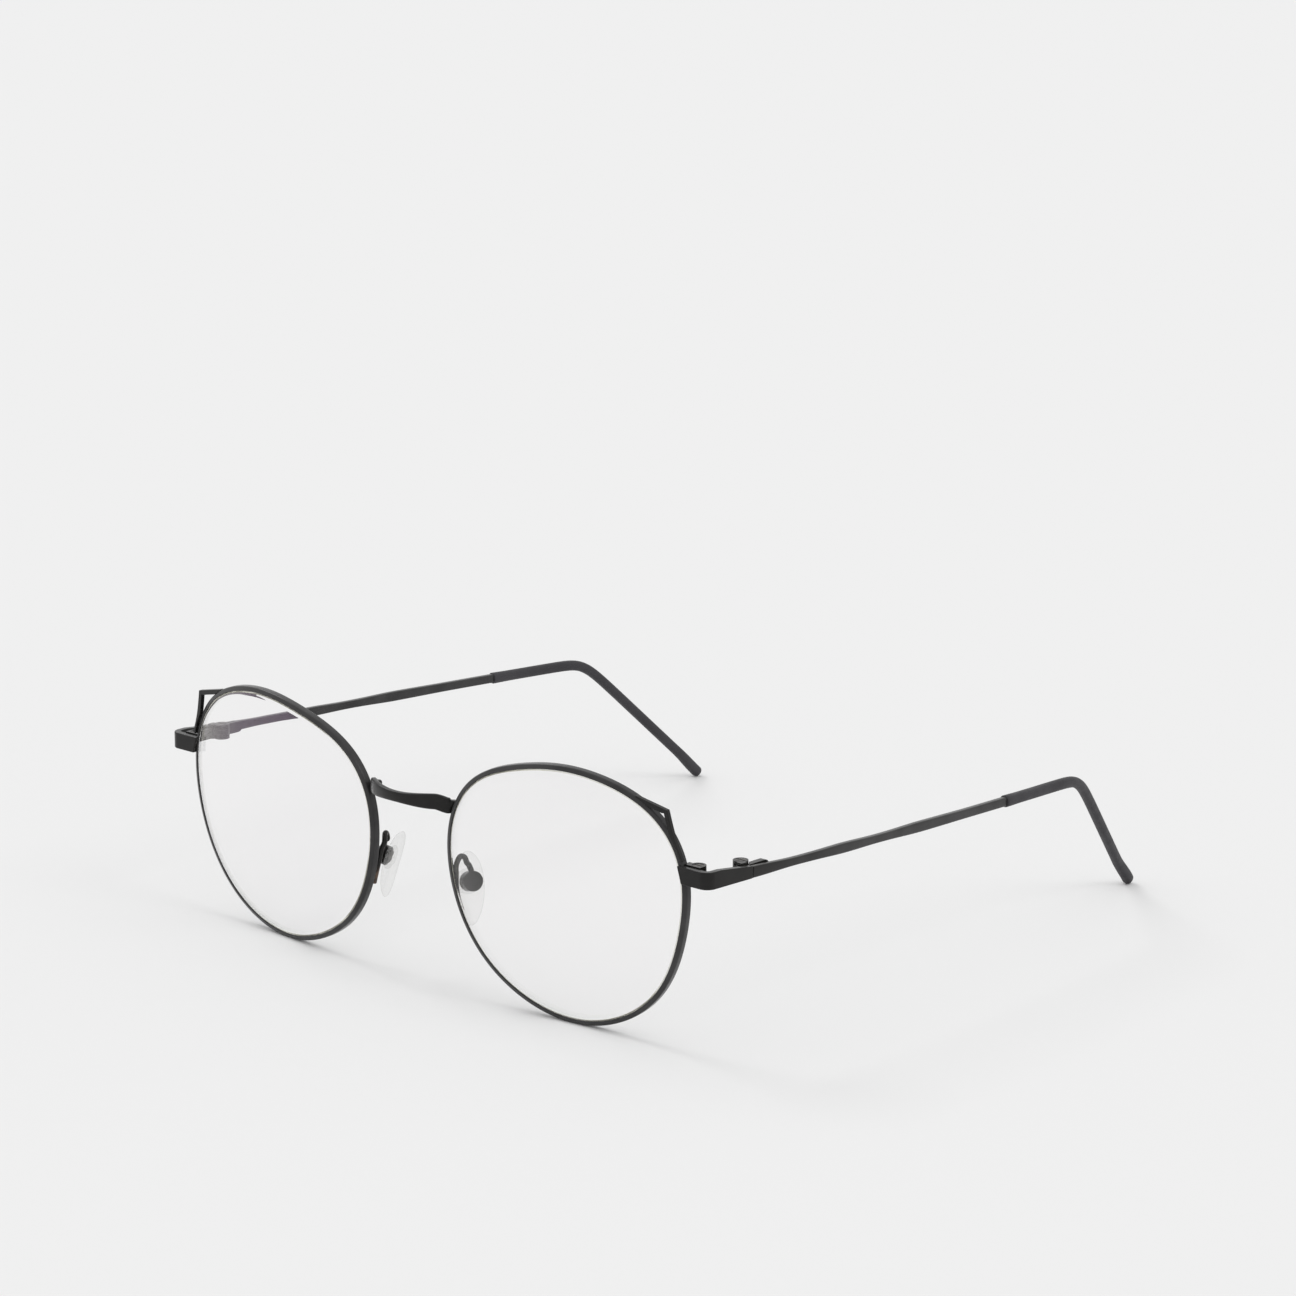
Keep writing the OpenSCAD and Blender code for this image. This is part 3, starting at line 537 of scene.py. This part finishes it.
def lineRadius(t, a, ra, b, rb, inward):
    # How far out the straight line from (a, ra) to (b, rb), moved inward, lies at turn t
    p, q = Vector((ra*cosD(a), ra*sinD(a))), Vector((rb*cosD(b), rb*sinD(b)))
    direction = (q - p).normalized()
    normal = Vector((direction.y, -direction.x))
    return (abs(p.dot(normal)) - inward)/abs(normal.x*cosD(t) + normal.y*sinD(t))


def buildEar(name, side):
    e, wireWidth, steps = earShape, wireShape["width"], earShape["steps"]
    tip, rootUp, rootDown = e["angle"], e["angle"] + e["up"], e["angle"] - e["down"]
    tipRadius = outlineRadius(tip) + wireWidth + e["reach"]
    upper = (tip, tipRadius, rootUp, outlineRadius(rootUp) + wireWidth + e["lead"])
    lower = (tip, tipRadius, rootDown, outlineRadius(rootDown) + wireWidth + e["tail"])
    turns = [rootDown + i*e["down"]/steps for i in range(steps)] + [tip]
    turns += [tip + i*e["up"]/steps for i in range(1, steps + 1)]
    depth = (sag(outlineRadius(rootUp), 0) + sag(outlineRadius(rootDown), 0))/2
    rings = []
    for t in turns:
        line = upper if t > tip else lower
        drawnIn = 0 if t > tip else e["waist"]*sinD(180*(t - rootDown)/e["down"])
        outer = lineRadius(t, *line, 0) - drawnIn
        inner = max(outlineRadius(t) + wireWidth - e["sunk"], lineRadius(t, *line, e["bar"]) - drawnIn)
        rings.append([placeOnLens(r*cosD(t), r*sinD(t), depth + back)
                      for r, back in ((inner, 0), (outer, 0), (outer, e["thick"]), (inner, e["thick"]))])
    skinPiece("earTrim." + name, rings, side, "front", "black_metal", ["ear_trim_" + name], bevel=e["edge"])


# Bridge: a flat bar that arches over the nose, with a small foot on each wire. Where it deepens, falls and turns
# into its foot is given as a start and a length, in shares of its half.
bridgeShape = {"height": 2.05, "endHeight": 2.9, "thick": 1.2, "bow": 3.45, "rise": 0.9, "footBack": 2.0,
               "footHeight": 1.45, "footMore": 0.7, "footDrop": 0.45, "above": 10.3, "arch": 80, "inset": 0.3,
               "deepens": (0.02, 0.6), "falls": (0.6, 0.3), "foot": (0.85, 0.15), "steps": 120, "around": 36,
               "square": 0.56, "gap": 0.02, "near": 157}
bridgeEnd = onWire(180 - turnAtHeight(bridgeShape["above"], bridgeShape["near"]),
                   wireShape["width"] + bridgeShape["gap"])


def buildBridge():
    b = bridgeShape
    half = bridgeEnd.x - b["thick"]/2 - b["inset"]
    up = Vector((0, 0, 1))

    def done(change, f):
        start, length = b[change]
        return smooth((abs(f) - start)/length)

    places = [2*i/b["steps"] - 1 for i in range(b["steps"] + 1)]
    line = [Vector((
        half*sinD(b["arch"]*f)/sinD(b["arch"]),
        bridgeEnd.y + b["footBack"]
        - (b["bow"] + b["footBack"])*(cosD(b["arch"]*f) - cosD(b["arch"]))/(1 - cosD(b["arch"])),
        bridgeEnd.z + b["rise"]*(1 - done("falls", f))
        + done("foot", f)*((b["endHeight"] - b["footHeight"])/2 - b["footDrop"]),
    )) for f in places]
    rings = []
    for i, f in enumerate(places):
        height = b["height"] + (b["endHeight"] - b["height"])*done("deepens", f)
        height += (b["footHeight"] - height)*done("foot", f)
        thick = b["thick"] + b["footMore"]*done("foot", f)
        rings.append(tubeRing(line[i], heading(line, i), up, height/2, thick/2, b["around"], b["square"]))
    skinPiece("bridge.bar", rings, 1, "front", "black_metal", ["bridge"], sharpAt=60)


# End piece: across the front of the wire, round the corner and back to the joint
def buildEndPiece(name, side):
    s = lugShape
    cornerY = lugFront + s["corner"]
    cornerX = lugOuter - (jointY - cornerY)*tanD(s["splay"]) - s["corner"]/cosD(s["splay"])
    inside = s["corner"] - s["thick"]
    strips = [((x, lugFront), (x, lugFront + s["thick"])) for x in (lugStart, cornerX - s["straight"])]
    for k in range(s["cornerSteps"] + 1):
        t = -90 + k*(90 - s["splay"])/s["cornerSteps"]
        strips.append(((cornerX + s["corner"]*cosD(t), cornerY + s["corner"]*sinD(t)),
                       (cornerX + inside*cosD(t), cornerY + inside*sinD(t))))
    along = Vector((sinD(s["splay"]), cosD(s["splay"])))
    armOuter, armInner = Vector(strips[-1][0]), Vector(strips[-1][1])
    for y in (cornerY + s["slopeAfter"], jointY + s["closer"]):
        strips.append((armOuter + along*(y - armOuter.y)/along.y, armInner + along*(y - armInner.y)/along.y))
    low = lugBottom
    rings = []
    for i, (outer, inner) in enumerate(strips):
        high = low + (s["height"] if i < len(strips) - 1 else s["endHeight"])
        back = s["cutBack"] if i == 0 else 0.0  # the front end is cut back at its foot
        rings.append([(outer[0] + back, outer[1], low), (inner[0] + back, inner[1], low),
                      (inner[0], inner[1], high), (outer[0], outer[1], high)])
    skinPiece("endPiece." + name, rings, side, "front", "black_metal", ["end_piece_" + name], bevel=s["edge"])


# Temple: a bar with two swells, and its sleeve bent down behind the ear. A swell is given as its height, its place
# behind the joint and its half width.
templeShape = {
    "length": 98.5, "tip": 26.5, "fall": 0.04, "bow": 4.4, "tipBow": 0.4, "tipIn": 8.1, "thick": 1.3, "height": 1.5,
    "swells": ((0.35, 25, 6), (0.45, 47, 7)), "rearDeeper": 0.25, "rearOver": 10, "frontLower": 0.1, "frontOver": 12,
    "bend": 6.0, "bendTight": 4, "tipRest": 0.523, "flare": 0.7, "bulb": 5.0, "lower": 0.05, "intoSleeve": 1.2,
    "frontEdge": 0.1, "frontShare": 0.86, "steps": 110, "around": 36, "square": 0.42,
}
sleeveShape = {
    "width": 2.0, "height": 2.1, "slim": 0.06, "slimFrom": -4, "slimOver": 8, "lip": 0.06, "lipHalf": 3,
    "bulbMore": 0.06, "bulbLead": 1, "lead": 25.0, "bendHalf": 9, "steps": (20, 40, 28), "around": 36, "square": 0.8,
    "mouth": ((0.8, 0.0), (0.93, 0.03), (1.0, 0.16)), "capLong": 0.45, "capTurns": (12, 24, 36, 48, 60, 70, 79, 86),
}
templeX = lugOuter - lugShape["thick"]/2
templeZ = lugBottom + lugShape["endHeight"]/2 - templeShape["lower"]
bendY = templeY + templeShape["length"]
endY = bendY + templeShape["tip"]
sleeveY = bendY - sleeveShape["lead"]


def bendShare(y):
    s, tight = (y - bendY)/templeShape["bend"], templeShape["bendTight"]
    return templeShape["bend"]*(s + math.log(1 + math.exp(-tight*s))/tight)


def onTemple(y):
    t = templeShape
    s = (y - templeY)/t["length"]
    g = bendShare(y)/bendShare(endY)
    drop = templeZ - t["fall"]*(bendY - templeY) - t["tipRest"]*sleeveShape["height"]
    return Vector((
        templeX - t["bow"]*min(s, 1)**2 - t["tipBow"]*t["bow"]*max(0, s - 1) - t["tipIn"]*g
        + t["flare"]*smooth((y - endY + t["bulb"])/t["bulb"]),
        y,
        templeZ - t["fall"]*(min(y, bendY) - templeY) - g*drop,
    ))


def barHeight(y):
    t = templeShape
    behind = y - templeY
    return (t["height"] + t["rearDeeper"]*smooth((behind - t["swells"][1][1])/t["rearOver"])
            + (lugShape["endHeight"] - t["height"] - t["frontLower"])*smooth(1 - behind/t["frontOver"])
            + sum(more*bump(behind, at, half) for more, at, half in t["swells"]))


def sleeveShare(y):
    s, bulb = sleeveShape, templeShape["bulb"]
    return (1 + s["lip"]*bump(y, sleeveY, s["lipHalf"])
            - s["slim"]*smooth((y - bendY - s["slimFrom"])/s["slimOver"])
            + (s["slim"] + s["bulbMore"])*smooth((y - endY + bulb + s["bulbLead"])/bulb))


def buildTemple(name, side):
    t = templeShape
    step = (sleeveY + t["intoSleeve"] - templeY)/t["steps"]
    ys = [templeY + i*step for i in range(t["steps"] + 1)]
    line = [onTemple(y) for y in ys]
    up = Vector((0, 0, 1))
    rings = [tubeRing(line[i], heading(line, i), up, barHeight(y)/2, t["thick"]/2, t["around"], t["square"])
             for i, y in enumerate(ys)]
    rings[0] = [p + Vector((0, t["frontEdge"] - lugShape["closer"], 0)) for p in rings[0]]
    first = [line[0] + (p - line[0])*t["frontShare"] - Vector((0, t["frontEdge"], 0)) for p in rings[0]]
    skinPiece("temple." + name, [first] + rings, side, "arm_" + name, "black_metal", ["temple_" + name],
              paintedLightTempleLacquer, sharpAt=40)


def buildSleeve(name, side):
    s = sleeveShape
    lead, bend, tail = s["steps"]
    bendFrom, bendTo = bendY - s["bendHalf"], bendY + s["bendHalf"]
    ys = [sleeveY + i*(bendFrom - sleeveY)/lead for i in range(lead)]
    ys += [bendFrom + i*(bendTo - bendFrom)/bend for i in range(bend)]
    ys += [bendTo + i*(endY - bendTo)/tail for i in range(tail + 1)]
    line = [onTemple(y) for y in ys]
    across = Vector((1, 0, 0))

    def ringAt(i, share, ahead=0.0):
        along = heading(line, i)
        half = sleeveShare(ys[i])*share/2
        return tubeRing(line[i] + along*ahead, along, across, half*s["width"], half*s["height"], s["around"],
                        s["square"])

    last = len(ys) - 1
    rings = [ringAt(0, share, ahead) for share, ahead in s["mouth"]]
    rings += [ringAt(i, 1.0) for i in range(1, len(ys))]
    rings += [ringAt(last, cosD(turn), sinD(turn)*s["height"]*s["capLong"]) for turn in s["capTurns"]]
    skinPiece("sleeve." + name, rings, side, "arm_" + name, "tip_sleeve", ["temple_tip_" + name], sharpAt=60)


# Nose pad, and its axes: out towards the nose, along the rocking screw, and up
padShape = {"flare": 15, "splay": 18, "lean": 3, "boxRadius": 1.85, "length": 13.4, "width": 5.2, "thick": 1.7,
            "set": 0.6, "low": 1.3, "face": -0.5, "dish": 0.5, "broadTop": 0.15, "around": 72, "steps": 5,
            "profile": ((0.02, 0.0), (0.4, 0.0), (0.72, 0.0), (0.9, -0.1), (1.0, -0.42), (0.97, -0.68), (0.8, -0.9),
                        (0.45, -1.0), (0.02, -1.0))}
padAt = Vector((jointAt["pad_rock_left"][0], jointAt["pad_rock_left"][1] + midY, jointAt["pad_rock_left"][2]))


def padPoint(v):
    flare, splay, lean = padShape["flare"], padShape["splay"], padShape["lean"]
    y = v[1]*cosD(lean) + v[2]*sinD(lean)
    up = v[2]*cosD(lean) - v[1]*sinD(lean)
    x = v[0]*cosD(flare) - up*sinD(flare)
    z = v[0]*sinD(flare) + up*cosD(flare)
    return padAt + Vector((x*cosD(splay) + y*sinD(splay), y*cosD(splay) - x*sinD(splay), z))


def buildNosePad(name, side):
    p = padShape
    rings = []
    for q in curveThrough([Vector(point) for point in p["profile"]], p["steps"]):
        ring = []
        for i in range(p["around"]):
            turn = -math.tau*i/p["around"]
            c, s = math.cos(turn), math.sin(turn)
            ring.append(padPoint((p["face"] + q.y*p["thick"] - p["dish"]*q.x*s*s,
                                  c*p["width"]/2*q.x*(1 + p["broadTop"]*s) + p["set"],
                                  s*p["length"]/2*q.x - p["low"])))
        rings.append(ring)
    skinPiece("nosePad." + name, rings, side, "rocker_" + name, "pad_silicone", ["nose_pad_" + name], sharpAt=80)


# Pad arm: a wire soldered along the back of the eyewire, looped over and down to its box. The foot's points are a
# turn on the wire, a way outward and a gap behind it, and the loop's points are set from its top.
armShape = {"radius": 0.5, "drop": 3.6, "near": 190, "steps": 12, "around": 24, "endShare": 0.6, "endEdge": 0.15,
            "foot": ((12, 0.5, 0.02), (7, 0.45, 0.03), (2, 0.35, 0.3), (-3, 0.2, 0.8)), "top": (-1.3, -1.3, 4.6),
            "loop": ((-0.35, -0.55, -1.5), (0, 0, 0), (0.35, 0.75, -0.15), (0.55, 1.15, -1.25)),
            "boxEnd": ((0.65, -0.4, 1.1), (0.75, 0, -0.05)), "across": (1, 0.2, 0)}


def buildPadArm(name, side):
    a = armShape
    noseAngle = 180 + turnAtHeight(a["drop"], a["near"])
    points = [onWire(noseAngle + turn, outward, wireShape["depth"] + a["radius"] + gap)
              for turn, outward, gap in a["foot"]]
    points += [padAt + Vector(a["top"]) + Vector(q) for q in a["loop"]]
    points += [padPoint((x, y, padShape["boxRadius"] + z)) for x, y, z in a["boxEnd"]]
    line = curveThrough(points, a["steps"])
    across = Vector(a["across"])
    rings = [tubeRing(middle, heading(line, i), across, a["radius"], a["radius"], a["around"])
             for i, middle in enumerate(line)]
    first = [line[0] + (q - line[0])*a["endShare"] for q in rings[0]]
    rings[0] = [q + heading(line, 0)*a["endEdge"] for q in rings[0]]
    skinPiece("padArm." + name, [first] + rings, side, "front", "black_metal", ["pad_arm_" + name],
              solderedLacquer, sharpAt=60)


# Inside the pad: a dark stud that rocks on the screw, and the clear plate that it carries
coreShape = {"stud": {"radius": 1.25, "half": 1.0, "start": -1.05, "end": 0.6},
             "plate": {"radius": 2.33, "half": 2.33, "start": -1.4, "end": -0.95}, "edge": 0.1, "around": 48}


def discRings(radius, half, start, end):
    edge, around = coreShape["edge"], coreShape["around"]
    rings = []
    for shrink, x in ((edge, start), (0, start + edge), (0, end - edge), (edge, end)):
        ring = []
        for i in range(around):
            c, s = math.cos(math.tau*i/around), math.sin(math.tau*i/around)
            wide = max(-half + shrink, min(half - shrink, c*(radius - shrink)))
            ring.append(padPoint((x, wide, s*(radius - shrink))))
        rings.append(ring)
    return rings


def buildPadCore(name, side):
    stud, plate = discRings(**coreShape["stud"]), discRings(**coreShape["plate"])
    skinPiece("padStud." + name, stud, side, "rocker_" + name, "screw_steel", ["pad_core_" + name])
    skinPiece("padPlate." + name, plate, side, "rocker_" + name, "pad_silicone", ["pad_core_" + name])


for sideName, sign in sides.items():
    buildEyewire(sideName, sign)
    buildLens(sideName, sign)
    buildEar(sideName, sign)
    buildEndPiece(sideName, sign)
    buildTemple(sideName, sign)
    buildSleeve(sideName, sign)
    buildPadArm(sideName, sign)
    buildPadCore(sideName, sign)
    buildNosePad(sideName, sign)
buildBridge()

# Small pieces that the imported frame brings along, and how far their edges are softened
softEdge = {"lock_upper": 0.14, "lock_lower": 0.14, "lock_screw": 0.08, "hinge_front": 0.08, "hinge_rear": 0.08,
            "hinge_screw": 0.08, "pad_box": 0.14, "pad_screw": 0.08}
for nodeName, width in softEdge.items():
    for sideName in sides:
        softenEdges(frame["nodes"][nodeName + "_" + sideName], width)
print("pieces built")

# Floor and world
stageLook = {"backdrop": 0.86, "floor": 0.82, "floorMatt": 0.9, "ambient": 0.82, "reach": 30.0, "under": 0.00002}
reach = stageLook["reach"]
floorMesh = bpy.data.meshes.new("floor")
floorMesh.from_pydata([(-reach, -reach, 0), (reach, -reach, 0), (reach, reach, 0), (-reach, reach, 0)], [],
                      [(0, 1, 2, 3)])
floor = addObject("floor", floorMesh)
floor.location.z = cadBox[0][2] - stageLook["under"]
floorFinish, _, floorShader = newFinish("pale floor")
setSockets(floorShader, {"Base Color": (stageLook["floor"],)*3 + (1,), "Roughness": stageLook["floorMatt"],
                         "Specular IOR Level": 0.0})
floorMesh.materials.append(floorFinish)

world = bpy.data.worlds.new("studio")
bpy.context.scene.world = world
world.use_nodes = True
worldTree = world.node_tree
path = addNode(worldTree, "ShaderNodeLightPath")
seen = addMath(worldTree, "MAXIMUM", path.outputs["Is Camera Ray"], path.outputs["Is Glossy Ray"])
seen = addMath(worldTree, "MAXIMUM", seen, path.outputs["Is Transmission Ray"])
level = spread(worldTree, seen, stageLook["ambient"], stageLook["backdrop"], 0, 1)
backdrop = worldTree.nodes["Background"]
setSockets(backdrop, {"Color": (1, 1, 1, 1)})
worldTree.links.new(level, backdrop.inputs["Strength"])

# Lamps: soft suns, the two strong ones nearly in the plane of the front, so that its shadows stay narrow
lampLook = {
    "key": {"power": 0.6, "angle": 22, "azimuth": -91, "elevation": 45},
    "rim": {"power": 0.35, "angle": 26, "azimuth": 98, "elevation": 45},
    "fill": {"power": 0.1, "angle": 80, "azimuth": -30, "elevation": 60},
}
for lampName, look in lampLook.items():
    lamp = bpy.data.lights.new(lampName, "SUN")
    lamp.energy = look["power"]
    lamp.angle = math.radians(look["angle"])
    holder = addObject(lampName, lamp)
    holder.rotation_euler = (math.radians(90 - look["elevation"]), 0, math.radians(look["azimuth"]))

# Camera: focal length in widths of the picture
cameraView = {"at": (615.1, -591.7, 278.16), "azimuth": 43.088, "elevation": 14.096, "focal": 4855/1296,
              "sensor": 36, "near": 0.01}
lensData = bpy.data.cameras.new("camera")
lensData.sensor_width = cameraView["sensor"]
lensData.lens = cameraView["focal"]*cameraView["sensor"]
lensData.clip_start = cameraView["near"]
camera = addObject("camera", lensData)
camera.location = toFrame(cameraView["at"], 1)
camera.rotation_euler = (math.radians(90 - cameraView["elevation"]), 0, math.radians(cameraView["azimuth"]))
bpy.context.scene.camera = camera
bpy.context.scene.view_settings.view_transform = "Standard"
print("stage set")
